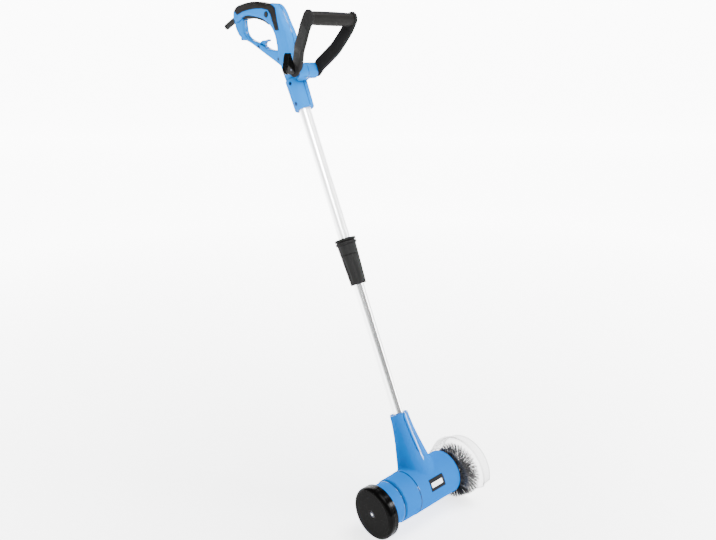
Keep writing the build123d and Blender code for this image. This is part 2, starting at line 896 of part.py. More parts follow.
def stator_core():
    yoke = tube_x(stator_r, stator_r - stator_yoke, stator_x, stator_end_x)
    bore_r = armature_r + air_gap
    pole = ring_sector(bore_r, stator_r - stator_yoke + over, pole_half_angle, stator_x, stator_end_x)
    return yoke + pole + Rot(X=180) * pole


def field_coils():
    inner = armature_r + air_gap + coil_gap
    outer = stator_r - stator_yoke - side_gap
    whole = ring_sector(inner, outer, coil_half_angle, stator_x - coil_end, stator_end_x + coil_end)
    room_angle = pole_half_angle + coil_gap_angle
    room_end = stator_end_x + side_gap
    coil = whole - ring_sector(inner - over, outer + over, room_angle, stator_x - side_gap, room_end)
    return group([coil, Rot(X=180) * coil])


def commutator_x():
    return stator_x - winding_end - winding_gap - commutator_length


def rear_bearing_x():
    return cap_end_x + housing_wall + over


def fan_x():
    return stator_end_x + winding_end + winding_gap


def motor_shaft():
    return rod_x(shaft_r, rear_bearing_x(), gear_end_x)


def armature_core():
    body = tube_x(armature_r, shaft_r, stator_x, stator_end_x)
    low = armature_r - slot_depth
    slot = block(stator_x - over, stator_end_x + over, low, armature_r + over, -slot_w / 2, slot_w / 2)
    for turned in around_x(slot, armature_slots):
        body = body - turned
    return body


def winding_bulge(x0, x1):
    core_r = shaft_r + winding_core
    soft = winding_soft
    return turn_x([
        (x0, core_r), (x0, winding_r - soft), (x0 + soft, winding_r), (x1 - soft, winding_r),
        (x1, winding_r - soft), (x1, core_r),
    ])


def armature_windings():
    low = armature_r - slot_depth + slot_fill_gap
    half = slot_w / 2 - slot_fill_gap
    slot = block(stator_x - over, stator_end_x + over, low, low + slot_fill, -half, half)
    body = winding_bulge(stator_x - winding_end, stator_x)
    body = body + winding_bulge(stator_end_x, stator_end_x + winding_end)
    for turned in around_x(slot, armature_slots):
        body = body + turned
    return body


def commutator():
    x0 = commutator_x()
    body = tube_x(commutator_r, shaft_r, x0, x0 + commutator_length)
    x1 = x0 + commutator_length
    low = commutator_r - slit_depth
    slit = block(x0 - over, x1 + over, low, commutator_r + over, -slit_w / 2, slit_w / 2)
    for turned in around_x(slit, 2 * armature_slots):
        body = body - turned
    return body


def cooling_fan():
    x0 = fan_x()
    body = rod_x(fan_r, x0, x0 + fan_t) + rod_x(fan_hub_r, x0, x0 + fan_depth)
    half = fan_blade_t / 2
    blade = block(x0, x0 + fan_depth, fan_hub_r - over, fan_r - over, -half, half)
    for turned in around_x(blade, fan_blades):
        body = body + turned
    return body - rod_x(shaft_r, x0 - 1, x0 + fan_depth + 1)


def brush_holders():
    x = commutator_x() + commutator_length / 2
    near = commutator_r + holder_gap
    half_w = brush_holder_w / 2
    half_h = brush_holder_h / 2
    box = block(x - half_h, x + half_h, near, housing_bore_r - holder_out, -half_w, half_w)
    room_h = carbon_h / 2 + fit_gap
    room_w = carbon_w / 2 + fit_gap
    room_end = near + carbon_length + holder_spring
    box = box - block(x - room_h, x + room_h, near - over, room_end, -room_w, room_w)
    return group([box, Rot(X=180) * box])


def carbon_brushes():
    x = commutator_x() + commutator_length / 2
    near = commutator_r + side_gap
    half_h = carbon_h / 2
    box = block(x - half_h, x + half_h, near, near + carbon_length, -carbon_w / 2, carbon_w / 2)
    return group([box, Rot(X=180) * box])


def motor_bearings():
    places = (rear_bearing_x(), case_x)
    return group([tube_x(bearing_r, shaft_r + fit_gap, x, x + bearing_w) for x in places])


# Internal gear

def involute(angle):
    return tan(angle) - angle


def gear_face(teeth, tip_r, root_r, slack, phase):
    pressure = radians(tooth_angle)
    pitch_r = gear_module * teeth / 2
    base_r = pitch_r * cos(pressure)
    points = []
    for k in range(teeth):
        centre = phase + 2 * pi * k / teeth
        flank = []
        for share in (0.0, 0.35, 0.7, 1.0):
            r = root_r + share * (tip_r - root_r)
            half = pi / (2 * teeth) - slack / (2 * pitch_r) + involute(pressure)
            half = half - involute(acos(min(1.0, base_r / r)))
            flank.append((r, half))
        points += [(r * cos(centre - half), r * sin(centre - half)) for r, half in flank]
        points += [(r * cos(centre + half), r * sin(centre + half)) for r, half in reversed(flank)]
    return make_face(Polyline(*points, close=True))


def spur_gear(teeth, phase, x0, x1, bore_r):
    pitch_r = gear_module * teeth / 2
    face = gear_face(teeth, pitch_r + tooth_tip, pitch_r - tooth_root, gear_backlash, phase)
    return slab(face, x0, x1) - rod_x(bore_r, x0 - 1, x1 + 1)


def pinion():
    return spur_gear(pinion_teeth, 0.0, gear_x, gear_end_x, shaft_r)


def ring_gear():
    cutter = gear_face(ring_teeth, ring_r + tooth_root, ring_r - ring_tooth_tip, -gear_backlash, 0.0)
    return rod_x(ring_outer_r, gear_x, carrier_x) - slab(cutter, gear_x - over, carrier_x + over)


def gear_case():
    outer = housing_bore_r - fit_gap
    body = rod_x(outer, case_x, housing_end_x)
    body = body - spindle_at * rod_x(ring_outer_r + ring_room, case_x + case_wall, housing_end_x + 1)
    body = body - rod_x(bearing_r + fit_gap, case_x - 1, case_x + bearing_w)
    return body - rod_x(shaft_r + case_shaft_gap, case_x - over, housing_end_x)


def gearbox_cover():
    boss = rod_x(spindle_bearing_r + bearing_boss_wall, spindle_bearing_x, housing_end_x + over)
    body = rod_x(cover_r, housing_end_x, cover_face_x) + spindle_at * boss
    body = body - spindle_at * rod_x(spindle_bearing_r + fit_gap, spindle_bearing_x - 1, housing_end_x)
    body = body - spindle_at * rod_x(journal_r + side_gap, spindle_bearing_x - 1, cover_face_x + 1)
    for hole in guard_screw_shanks(fit_gap):
        body = body - spindle_at * hole
    return body


def spindle_bearing():
    return tube_x(spindle_bearing_r, journal_r + fit_gap, spindle_bearing_x, housing_end_x)


def spindle():
    plate = rod_x(ring_outer_r, carrier_x, carrier_x + carrier_t)
    journal = rod_x(journal_r, carrier_x, hub_x)
    seat = rod_x(brush_seat_r, hub_x - over, hub_end_x)
    thread = rod_x(thread_r, hub_end_x - over, nut_end_x)
    tip = rod_x(spindle_tip_r, nut_end_x - over, spindle_end_x)
    return plate + journal + seat + thread + tip


# Brush and guard

def brush_hub():
    body = tube_x(hub_r, brush_seat_r, hub_x, hub_end_x)
    low = hub_end_x - hub_dish
    top = hub_end_x + over
    rim_r = hub_r - hub_rim
    dish = [(low, hub_dish_r), (top, hub_dish_r), (top, rim_r), (low, rim_r - hub_dish_slope)]
    return body - turn_x(dish)


def bristles():
    backing_r = hub_r + bristle_backing
    backing = tube_x(backing_r, hub_r, hub_x, hub_end_x)
    pitch = hub_length / bristle_rows
    half = strand_t / 2
    grow = (bristle_r - bristle_near_r) / (bristle_rows - 1)
    strands = []
    for row in range(bristle_rows):
        x = hub_x + (row + 0.5) * pitch
        strand = block(-half, half, backing_r - over, bristle_near_r + row * grow, -half, half)
        first = (row % 2) * 180 / bristles_per_row
        strands += [Pos(x, 0, 0) * turned for turned in around_x(strand, bristles_per_row, first)]
    return backing.fuse(*strands)


def brush_nut():
    return hex_nut(brush_nut_af, thread_r, hub_end_x, nut_end_x)


def guard_profile():
    x0 = cover_face_x
    ridge_x = x0 + guard_ridge_at
    end_x = x0 + guard_length
    t = guard_t
    outer = [
        (x0, guard_start_r), (ridge_x - guard_ridge, guard_ridge_r), (ridge_x, guard_ridge_r),
        (ridge_x + guard_ridge, guard_step_r), (end_x, guard_end_r),
    ]
    inner = [
        (end_x, guard_end_r - t), (ridge_x + guard_ridge - t / 2, guard_step_r - t),
        (ridge_x - t / 2, guard_ridge_r - t), (ridge_x - guard_ridge, guard_ridge_r - t),
        (x0 + t, guard_start_r - t / 2), (x0 + t, guard_flange_in_r), (x0, guard_flange_in_r),
    ]
    return outer + inner


def brush_guard():
    start = 180 - guard_back_angle
    body = turn_x(guard_profile(), start, guard_back_angle - guard_front_angle)
    body = Rot(X=pole_lean) * body
    for hole in guard_screw_shanks(fit_gap):
        body = body - hole
    return body


def guard_screw_angles():
    first = pole_lean + 90 - guard_screw_step * (guard_screw_count - 1) / 2
    return [first + guard_screw_step * k for k in range(guard_screw_count)]


def guard_screw_shanks(gap):
    radius = (guard_flange_in_r + cover_r) / 2
    shank = rod_x(guard_screw_r + gap, housing_end_x - gap, cover_face_x + guard_t + gap, radius)
    return [Rot(X=angle) * shank for angle in guard_screw_angles()]


def guard_screws():
    radius = (guard_flange_in_r + cover_r) / 2
    x0 = cover_face_x + guard_t
    head = rod_x(1.5 * guard_screw_r, x0, x0 + guard_screw_r, radius)
    shank = rod_x(guard_screw_r, housing_end_x, x0 + 1, radius)
    return group([Rot(X=angle) * (head + shank) for angle in guard_screw_angles()])


# Front handle, upright from its pivot, leaned into place afterwards

def arm():
    inner = arm_inner_x
    outer = arm_outer_x
    half = arm_t / 2
    top = arm_length + arm_cap
    low = -arm_w / 2
    seat_end = washer_r + arm_flat
    grip_low = arm_length - front_grip_end_r - arm_flat
    points = [
        (inner, low), (outer, low), (outer, seat_end), (arm_bend_out + half, arm_bend_along),
        (arm_top_out + half, grip_low), (arm_top_out + half, top), (arm_top_out - half, top),
        (arm_top_out - half, grip_low), (arm_bend_out - half, arm_bend_along + arm_flat),
        (inner, seat_end + arm_flat),
    ]
    wide = arm_w + 2 * arm_bow
    flat = extrude(Plane.XZ.offset(-wide / 2) * make_face(Polyline(*points, close=True)), wide)
    bends = [e for level in flat.edges().filter_by(Axis.Y).group_by(Axis.Z)[1:-1] for e in level]
    near = arm_flat + over
    flat = fillet([e for e in bends if abs(e.center().Z - arm_bend_along) > near], arm_bend_round)
    bends = flat.edges().filter_by(Axis.Y)
    flat = fillet([e for e in bends if abs(e.center().Z - arm_bend_along) < near], arm_curve)
    end = top - arm_w / 2
    side = SlotArc(ThreePointArc((0, 0), (-arm_bow, end / 2), (0, end)), arm_w)
    flat = flat & slab(side, 0, 2 * arm_top_out)
    across = flat.edges().filter_by(Axis.X) + flat.edges().filter_by(Axis.Y)
    return fillet([e for e in flat.edges() if e not in across], arm_round)


def front_handle_frame():
    right = arm()
    left = mirror(right, Plane.YZ)
    bar = rod_x(bar_r, -arm_top_out, arm_top_out, 0, arm_length)
    body = right + left + bar
    pocket = slab(RegularPolygon(nut_af / sqrt(3) + fit_gap, 6), arm_outer_x - nut_pocket, 2 * arm_outer_x)
    return body - pocket - rod_x(bolt_r + fit_gap, -2 * arm_outer_x, 2 * arm_outer_x)


def front_grip_sleeve():
    half = arm_top_out - arm_t / 2
    inner = bar_r + fit_gap
    crown = ThreePointArc((-half, front_grip_end_r), (0, front_grip_r), (half, front_grip_end_r))
    ends = Polyline((half, front_grip_end_r), (half, inner), (-half, inner), (-half, front_grip_end_r))
    return Pos(0, 0, arm_length) * revolve(make_face([crown, ends]), Axis.X, 360)


def pivot_discs():
    disc = tube_x(disc_r, bolt_r + fit_gap, boss_half, arm_inner_x)
    return group([disc, mirror(disc, Plane.YZ)])


def bolt_eye_x():
    return arm_outer_x + washer_t + eye_out


def pivot_bolt():
    end = arm_outer_x - nut_pocket + nut_t
    eye = rod_y(eye_r, -eye_half, eye_half, -bolt_eye_x())
    hole = rod_y(lever_pin_r + fit_gap, -2 * eye_half, 2 * eye_half, -bolt_eye_x())
    return rod_x(bolt_r, -bolt_eye_x(), end) + eye - hole


def lever_washer():
    return tube_x(washer_r, bolt_r + fit_gap, -arm_outer_x - washer_t, -arm_outer_x)


def pivot_nut():
    x0 = arm_outer_x - nut_pocket
    return hex_nut(nut_af, bolt_r, x0, x0 + nut_t)


# Clamp lever: lies along the pole beside the pivot and swings outwards about a pin across the bolt's eye

def clamp_lever():
    x = -bolt_eye_x()
    inner = eye_half + side_gap
    outer = inner + lever_cheek
    hub_gap_x = bolt_eye_x() - arm_outer_x - washer_t - side_gap
    hub_r_used = min(lever_hub_r, hub_gap_x)
    cheek = rod_y(hub_r_used, inner, outer, x) + rod_y(hub_r_used, -outer, -inner, x)
    root = hub_r_used - over
    tip_z = lever_length - lever_tip
    blade_points = [
        (x - root, -lever_foot), (x - root, lever_root), (x - lever_tip_out, tip_z),
        (x - lever_tip_in, lever_length), (x + over, lever_length), (x + lever_tip_in, tip_z),
        (x + root, lever_root), (x + root, 0), (x, 0), (x, -lever_foot),
    ]
    blade = extrude(Plane.XZ.offset(-outer) * make_face(Polyline(*blade_points, close=True)), 2 * outer)
    high = [e for e in blade.edges() if e.center().Z > lever_root]
    blade = fillet(high, lever_soft)
    room_r = eye_r + over
    room_end = x + 2 * lever_hub_r
    room = rod_y(room_r, -inner, inner, x) + block(x, room_end, -inner, inner, -room_r, room_r)
    return cheek + blade - room - rod_y(lever_pin_r, -2 * outer, 2 * outer, x)


def lever_pin():
    outer = eye_half + side_gap + lever_cheek
    return rod_y(lever_pin_r, -outer, outer, -bolt_eye_x())


def neck_screw():
    y, z = neck_top_r, neck_screw_place()
    return rod_y(screw_r, lower_bore_r, y + over, 0, z) + rod_y(screw_head_r, y, y + screw_head, 0, z)


def handle_screws():
    return group(handle_screw_forms(screw_at))


def pieces():
    left, right = casing_halves()
    made = {
        "handle_shell_left": handle_at * left,
        "handle_shell_right": handle_at * right,
        "grip_overmould": handle_at * grip_overmould(),
        "handle_screws": handle_at * handle_screws(),
        "cord_sleeve": handle_at * cord_sleeve(),
        "trigger": handle_at * trigger(),
        "trigger_pin": handle_at * trigger_pivot_rod(trigger_pin_r, casing_half - skin - 1),
        "lock_button": handle_at * lock_button(),
        "mains_switch": handle_at * mains_switch(),
        "capacitor": handle_at * capacitor(),
        "cord_clamp": handle_at * cord_clamp(),
        "upper_tube": upper_tube(),
        "clamp_collar": clamp_collar(),
        "clamp_collet": clamp_collet(),
        "clamp_sleeve": clamp_sleeve(),
        "coiled_lead": coiled_lead(),
        "lower_tube": lower_tube(),
        "tube_guide_bush": tube_guide_bush(),
        "lower_lead": lower_lead(),
        "neck_screw": neck_screw(),
        "motor_housing": motor_housing(),
        "end_cap": end_cap(),
        "wheel_carrier": wheel_carrier(),
        "housing_screws": housing_screws(),
        "wheel_axle": wheel_at * wheel_axle(),
        "wheel": wheel_at * wheel(),
        "wheel_bush": wheel_at * wheel_bush(),
        "stator_core": stator_core(),
        "field_coils": field_coils(),
        "motor_shaft": motor_shaft(),
        "armature_core": armature_core(),
        "armature_windings": armature_windings(),
        "commutator": commutator(),
        "cooling_fan": cooling_fan(),
        "brush_holders": brush_holders(),
        "carbon_brushes": carbon_brushes(),
        "motor_bearings": motor_bearings(),
        "pinion": pinion(),
        "ring_gear": spindle_at * ring_gear(),
        "gear_case": gear_case(),
        "gearbox_cover": gearbox_cover(),
        "spindle_bearing": spindle_at * spindle_bearing(),
        "spindle": spindle_at * spindle(),
        "brush_hub": spindle_at * brush_hub(),
        "bristles": spindle_at * bristles(),
        "brush_nut": spindle_at * brush_nut(),
        "brush_guard": spindle_at * brush_guard(),
        "guard_screws": spindle_at * guard_screws(),
        "front_handle_frame": front_handle_at * front_handle_frame(),
        "front_grip_sleeve": front_handle_at * front_grip_sleeve(),
        "pivot_discs": lever_at * pivot_discs(),
        "pivot_bolt": lever_at * pivot_bolt(),
        "lever_washer": lever_at * lever_washer(),
        "pivot_nut": front_handle_at * pivot_nut(),
        "clamp_lever": lever_at * clamp_lever(),
        "lever_pin": lever_at * lever_pin(),
    }
    return {name: place * shape for name, shape in made.items()}


def main():
    os.makedirs("parts", exist_ok=True)
    for name, shape in pieces().items():
        export_step(shape, f"parts/{name}.step")


if __name__ == "__main__":
    main()
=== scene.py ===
import json
import math
import random

import bpy
from mathutils import Matrix, Vector


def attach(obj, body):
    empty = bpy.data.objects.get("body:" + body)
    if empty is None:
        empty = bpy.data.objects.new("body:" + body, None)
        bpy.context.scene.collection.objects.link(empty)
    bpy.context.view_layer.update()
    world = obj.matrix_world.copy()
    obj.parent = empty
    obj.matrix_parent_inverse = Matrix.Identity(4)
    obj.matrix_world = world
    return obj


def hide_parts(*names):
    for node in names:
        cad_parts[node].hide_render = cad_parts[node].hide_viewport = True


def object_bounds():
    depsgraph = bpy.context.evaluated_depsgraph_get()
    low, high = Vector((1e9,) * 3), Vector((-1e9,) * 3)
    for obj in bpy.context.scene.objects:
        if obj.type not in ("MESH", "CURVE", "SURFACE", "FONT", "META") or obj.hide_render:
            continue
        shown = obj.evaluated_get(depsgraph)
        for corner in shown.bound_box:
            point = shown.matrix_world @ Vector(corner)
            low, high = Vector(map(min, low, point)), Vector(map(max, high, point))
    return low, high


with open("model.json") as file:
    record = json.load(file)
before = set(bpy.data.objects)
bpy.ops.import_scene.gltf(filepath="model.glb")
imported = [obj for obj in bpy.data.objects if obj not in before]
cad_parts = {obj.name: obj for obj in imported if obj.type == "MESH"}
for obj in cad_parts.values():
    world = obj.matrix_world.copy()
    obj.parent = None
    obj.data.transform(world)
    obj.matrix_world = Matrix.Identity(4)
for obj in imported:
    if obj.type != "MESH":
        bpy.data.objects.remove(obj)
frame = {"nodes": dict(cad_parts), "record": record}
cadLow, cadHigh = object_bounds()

nodes = frame["nodes"]
print("frame:", len(nodes), "nodes")

# where things are, in metres: the motor axis runs along X, the pole leans back about X
pole = {"lean": math.radians(25.8), "axisY": -0.57479, "axisZ": -1.03278}
drop = {"spindle": 0.0125, "wheel": 0.004}  # how far these axes lie below the motor's
poleUp = Vector((0, math.sin(pole["lean"]), math.cos(pole["lean"])))
poleBack = Vector((0, math.cos(pole["lean"]), -math.sin(pole["lean"])))
headPoint = Vector((0, pole["axisY"], pole["axisZ"]))
brushHead = headPoint - drop["spindle"] * poleUp
wheelHead = headPoint - drop["wheel"] * poleUp


class Wire:  # a shader socket that can stand in a Python expression
    def __init__(self, tree, socket=None):
        self.tree, self.socket = tree, socket

    def feed(self, node, sockets):
        for name, value in sockets.items():
            if isinstance(value, Wire):
                self.tree.links.new(value.socket, node.inputs[name])
            else:
                node.inputs[name].default_value = value

    def node(self, kind, settings=None, sockets=None, out=0):
        made = self.tree.nodes.new("ShaderNode" + kind)
        for name, value in (settings or {}).items():
            setattr(made, name, value)
        self.feed(made, sockets or {})
        return Wire(self.tree, made.outputs[out])

    def maths(self, operation, first, second):
        return self.node("Math", {"operation": operation}, {0: first, 1: second})

    def __add__(self, other):
        return self.maths("ADD", self, other)

    def __sub__(self, other):
        return self.maths("SUBTRACT", self, other)

    def __rsub__(self, other):
        return self.maths("SUBTRACT", other, self)

    def __mul__(self, other):
        return self.maths("MULTIPLY", self, other)

    def __pow__(self, other):
        return self.maths("POWER", self, other)

    def __lt__(self, other):
        return self.maths("LESS_THAN", self, other)

    def __gt__(self, other):
        return self.maths("GREATER_THAN", self, other)

    def __abs__(self):
        return self.maths("ABSOLUTE", self, 0)

    __radd__, __rmul__ = __add__, __mul__


def startMaterial(name):
    material = bpy.data.materials.new(name)
    material.use_nodes = True
    return material, Wire(material.node_tree), material.node_tree.nodes["Principled BSDF"]


def grey(value):
    return (value, value, value)


def mixColour(wire, share, first, second):  # 6, 7 and 2 are the colour sockets of a Mix node
    first, second = [c if isinstance(c, Wire) else (*c, 1) for c in (first, second)]
    return wire.node("Mix", {"data_type": "RGBA"}, {0: share, 6: first, 7: second}, out=2)


def pointOf(wire):  # the place on the object
    return wire.node("TexCoord", out="Object")


def normalOf(wire):
    return wire.node("NewGeometry", out="Normal")


def placeOf(wire, stretch=(1, 1, 1), turn=0.0):  # the place, turned about X and stretched
    sockets = {"Vector": pointOf(wire), "Rotation": (turn, 0, 0), "Scale": stretch}
    return wire.node("Mapping", {}, sockets)


def grainOf(wire, at, scale, detail=2.0, rough=0.5):
    sockets = {"Vector": at, "Scale": scale, "Detail": detail, "Roughness": rough}
    return wire.node("TexNoise", {}, sockets)


def vectorOf(wire, operation, first, second=(0, 0, 0)):
    out = "Value" if operation in ("DOT_PRODUCT", "LENGTH", "DISTANCE") else "Vector"
    return wire.node("VectorMath", {"operation": operation}, {0: first, 1: second}, out)


def rampOf(wire, value, span):  # from nought to one over a span of values
    return wire.node("MapRange", {}, {"Value": value, "From Min": span[0], "From Max": span[1]})


rays = {"edge": 6, "hollow": 8, "soften": 4}  # samples of the nodes that feel for edges and corners


def edgeOf(wire, radius):  # near zero on flats, growing towards an edge
    soft = wire.node("Bevel", {"samples": rays["edge"]}, {"Radius": radius})
    return 1 - vectorOf(wire, "DOT_PRODUCT", soft, normalOf(wire))


def hollowOf(wire, reach, inside=False):  # grows into corners, or from inside out to edges
    settings = {"samples": rays["hollow"], "inside": inside}
    return 1 - wire.node("AmbientOcclusion", settings, {"Distance": reach}, out="AO")


# one dictionary for each finish: colours are linear, sizes of grain are counts in a metre
# the corner colours and the edge shade colours of a finish are painted shade
finishes = {
    "handle_blue": {
        "colour": (0.0002, 0.092, 0.298), "shade": (0.0002, 0.083, 0.275),
        "rough": 0.40, "roughSwing": 0.08, "grain": 2600, "grainDepth": 0.00002,
        "edge": 0.0009, "gloss": 0.004, "seam": True, "shine": 0.0025,
        "corner": 0.016, "cornerColour": (0.0002, 0.034, 0.135),
        "dark": 0.9, "edgeShadeReach": 0.0030, "edgeShadeColour": (0.0003, 0.020, 0.090),
    },
    "head_blue": {
        "colour": (0.0002, 0.096, 0.350), "shade": (0.0002, 0.089, 0.328),
        "rough": 0.40, "roughSwing": 0.08, "grain": 2600, "grainDepth": 0.00002,
        "edge": 0.0009, "gloss": 0.0, "shine": 0.0025, "neckShine": 0.058,
        "corner": 0.007, "cornerColour": (0.0003, 0.006, 0.028),
    },
    "soft_black": {
        "colour": (0.0048, 0.0046, 0.0044), "shade": (0.0036, 0.0034, 0.0032),
        "rough": 0.50, "roughSwing": 0.14, "grain": 1500, "grainDepth": 0.00010,
        "edge": 0.0008, "gloss": 0.03,
    },
    "black_plastic": {
        "colour": grey(0.0115), "shade": grey(0.0085),
        "rough": 0.45, "roughSwing": 0.14, "grain": 2200, "grainDepth": 0.00006,
        "edge": 0.0012, "gloss": 0.02, "dark": 0.9, "edgeShadeReach": 0.0012, "edgeShadeColour": grey(0.002),
    },
    "frame_black": {
        "colour": grey(0.0078), "shade": grey(0.0058),
        "rough": 0.45, "roughSwing": 0.14, "grain": 2200, "grainDepth": 0.00006,
        "edge": 0.0012, "gloss": 0.012, "dark": 0.9, "edgeShadeReach": 0.0016, "edgeShadeColour": grey(0.001),
    },
    "black_gloss": {
        "colour": grey(0.0018), "shade": grey(0.0013),
        "rough": 0.16, "roughSwing": 0.08, "grain": 3000, "grainDepth": 0.00001,
        "edge": 0.0010, "gloss": 0.012, "coat": 0.020,
    },
    "inner_plastic": {
        "colour": (0.22, 0.22, 0.21), "shade": (0.17, 0.17, 0.16),
        "rough": 0.5, "roughSwing": 0.1, "grain": 1800, "grainDepth": 0.00004,
    },
    "tube_aluminium": {
        "colour": (0.93, 0.93, 0.935), "shade": (0.88, 0.88, 0.885),
        "rough": 0.30, "roughSwing": 0.12, "grain": 900, "grainDepth": 0.00001,
        "metal": 0.6, "drawn": True,
    },
    "tube_bright": {
        "colour": (0.90, 0.90, 0.905), "shade": (0.82, 0.82, 0.825),
        "rough": 0.24, "roughSwing": 0.12, "grain": 900, "grainDepth": 0.00001,
        "metal": 1.0, "drawn": True,
    },
    "steel": {
        "colour": (0.60, 0.60, 0.61), "shade": (0.48, 0.48, 0.49),
        "rough": 0.26, "roughSwing": 0.16, "grain": 1600, "grainDepth": 0.00002,
        "edge": 0.0003, "metal": 1.0,
    },
    "dark_steel": {
        "colour": (0.030, 0.034, 0.045), "shade": (0.018, 0.020, 0.028),
        "rough": 0.38, "roughSwing": 0.12, "grain": 1600, "grainDepth": 0.00002,
        "edge": 0.0003, "metal": 1.0,
    },
    "copper": {
        "colour": (0.62, 0.26, 0.10), "shade": (0.45, 0.17, 0.07),
        "rough": 0.35, "roughSwing": 0.1, "grain": 1200, "grainDepth": 0.0001,
        "coat": 0.2, "metal": 1.0,
    },
    "carbon": {
        "colour": grey(0.020), "shade": grey(0.010),
        "rough": 0.7, "roughSwing": 0.1, "grain": 2400, "grainDepth": 0.00006,
    },
    "sintered_bronze": {
        "colour": (0.42, 0.28, 0.12), "shade": (0.30, 0.20, 0.09),
        "rough": 0.45, "roughSwing": 0.15, "grain": 2400, "grainDepth": 0.00005,
        "metal": 1.0,
    },
    "lead_black": {
        "colour": grey(0.016), "shade": grey(0.012),
        "rough": 0.5, "roughSwing": 0.1, "grain": 1600, "grainDepth": 0.00005,
    },
}
finishes["wheel_black"] = {**finishes["black_gloss"], "shine": 0.005, "shineWeight": 0.45}

# what the solid finishes share
surface = {
    "broad": 26, "broadDetail": 3.0, "broadShare": 0.75, "drawn": 0.012,
    "smudge": 70, "smudgeDetail": 4.0, "smudgeRough": 0.6,
    "seamHalf": 0.00045, "seamDepth": 0.0002, "seamShadeShare": 0.8, "seamShadeColour": (0.002, 0.025, 0.095),
    "cornerSpan": (0.14, 0.55), "edgeShadeGain": 9, "edgeShadePower": 0.8,
    "shineSpan": (0.1, 0.5), "neckSpan": (0.90, 0.97), "coatRough": 0.12,
}


def colourOf(wire, look, colour, seam):
    if look.get("seam"):
        # painted shade: a dark navy line along the seam where the two halves meet
        colour = mixColour(wire, seam * surface["seamShadeShare"], colour, surface["seamShadeColour"])
    if look.get("corner"):  # grooves and joints gather shade
        deep = rampOf(wire, hollowOf(wire, look["corner"]), surface["cornerSpan"])
        colour = mixColour(wire, deep, colour, look["cornerColour"])
    if look.get("dark"):  # painted shade: edges darker than the flats, standing in for shaded side faces and outlines
        edge = (edgeOf(wire, look["edgeShadeReach"]) * surface["edgeShadeGain"]) ** surface["edgeShadePower"]
        colour = mixColour(wire, edge * look["dark"], colour, look["edgeShadeColour"])
    return colour


def coatOf(wire, look):
    coat = look.get("coat", 0.0)
    if look.get("shine"):  # rubbed bright along its outer edges
        worn = rampOf(wire, hollowOf(wire, look["shine"], True), surface["shineSpan"])
        coat = wire.maths("MAXIMUM", worn * look.get("shineWeight", 1.0), coat)
    if look.get("neckShine"):  # the front of the neck is polished, from this far above the motor
        along = vectorOf(wire, "DOT_PRODUCT", pointOf(wire), poleUp) - headPoint.dot(poleUp)
        ahead = vectorOf(wire, "DOT_PRODUCT", normalOf(wire), -poleBack)
        front = rampOf(wire, ahead, surface["neckSpan"])
        coat = wire.maths("MAXIMUM", coat, (along > look["neckShine"]) * front)
    return coat


def solidFinish(name, look):
    material, wire, shader = startMaterial(name)
    drawn = look.get("drawn")  # a drawn tube has its grain along the pole
    at = placeOf(wire, (1, 1, surface["drawn"]), pole["lean"]) if drawn else placeOf(wire)
    broad = grainOf(wire, at, surface["broad"], surface["broadDetail"])
    fine = grainOf(wire, at, look["grain"])
    shade = broad * surface["broadShare"] + fine * (1 - surface["broadShare"])
    base = mixColour(wire, shade, look["shade"], look["colour"])
    height, seam = fine * look["grainDepth"], None
    if look.get("seam"):  # the moulding line where the two halves of the casing meet, sunk as a groove and darkened with painted shade
        seam = abs(wire.node("SeparateXYZ", {}, {0: pointOf(wire)})) < surface["seamHalf"]
        height = height - seam * surface["seamDepth"]
    smudge = grainOf(wire, at, surface["smudge"], surface["smudgeDetail"], surface["smudgeRough"])
    bump = {"Strength": 1.0, "Distance": 1.0, "Height": height}
    if look.get("edge"):
        bump["Normal"] = wire.node("Bevel", {"samples": rays["soften"]}, {"Radius": look["edge"]})
    wire.feed(shader, {
        "Base Color": colourOf(wire, look, base, seam),
        "Roughness": (smudge - 0.5) * look["roughSwing"] + look["rough"],
        "Metallic": look.get("metal", 0.0),
        "Coat Weight": coatOf(wire, look),
        "Coat Roughness": surface["coatRough"],
        "Specular IOR Level": look.get("gloss", 0.5),
        "Normal": wire.node("Bump", {}, bump),
    })
    return material


# the clear guard: how much shows of its body, of its faces seen aslant and of its edges
guard = {
    "tint": (0.08, 0.08, 0.084), "pale": (0.12, 0.12, 0.125), "haze": 40, "hazeDetail": 3.0,
    "rough": 0.08, "roughSwing": 0.06, "ior": 1.46, "body": 0.09,
    "aslant": 0.95, "aslantBlend": 0.30, "aslantPower": 2.0, "edge": 8.5, "edgeReach": 0.0016,
}


def clearFinish(name, look):
    material, wire, shader = startMaterial(name)
    haze = grainOf(wire, placeOf(wire), look["haze"], look["hazeDetail"])
    aslant = wire.node("LayerWeight", {}, {"Blend": look["aslantBlend"]}, out="Facing")
    edge = edgeOf(wire, look["edgeReach"])
    shown = aslant ** look["aslantPower"] * look["aslant"] + edge * look["edge"] + look["body"]
    wire.feed(shader, {
        "Base Color": mixColour(wire, haze, look["tint"], look["pale"]),
        "Roughness": haze * look["roughSwing"] + look["rough"],
        "Alpha": shown,
        "IOR": look["ior"],
    })
    return material


# the brush's wires: dark, with pale flecks towards the tips at the outer end that are painted
# glints
strands = {
    "dark": (0.008, 0.007, 0.008), "pale": (0.66, 0.65, 0.66), "tonePower": 0.5,
    "endX": (0.106, 0.130), "endR": (0.044, 0.060),
    "fleck": 190, "fleckDetail": 1.0, "glintSpan": (0.52, 0.58),
    "rough": 0.22, "roughSwing": 0.2, "metal": 0.6, "metalFrom": 0.7,
}


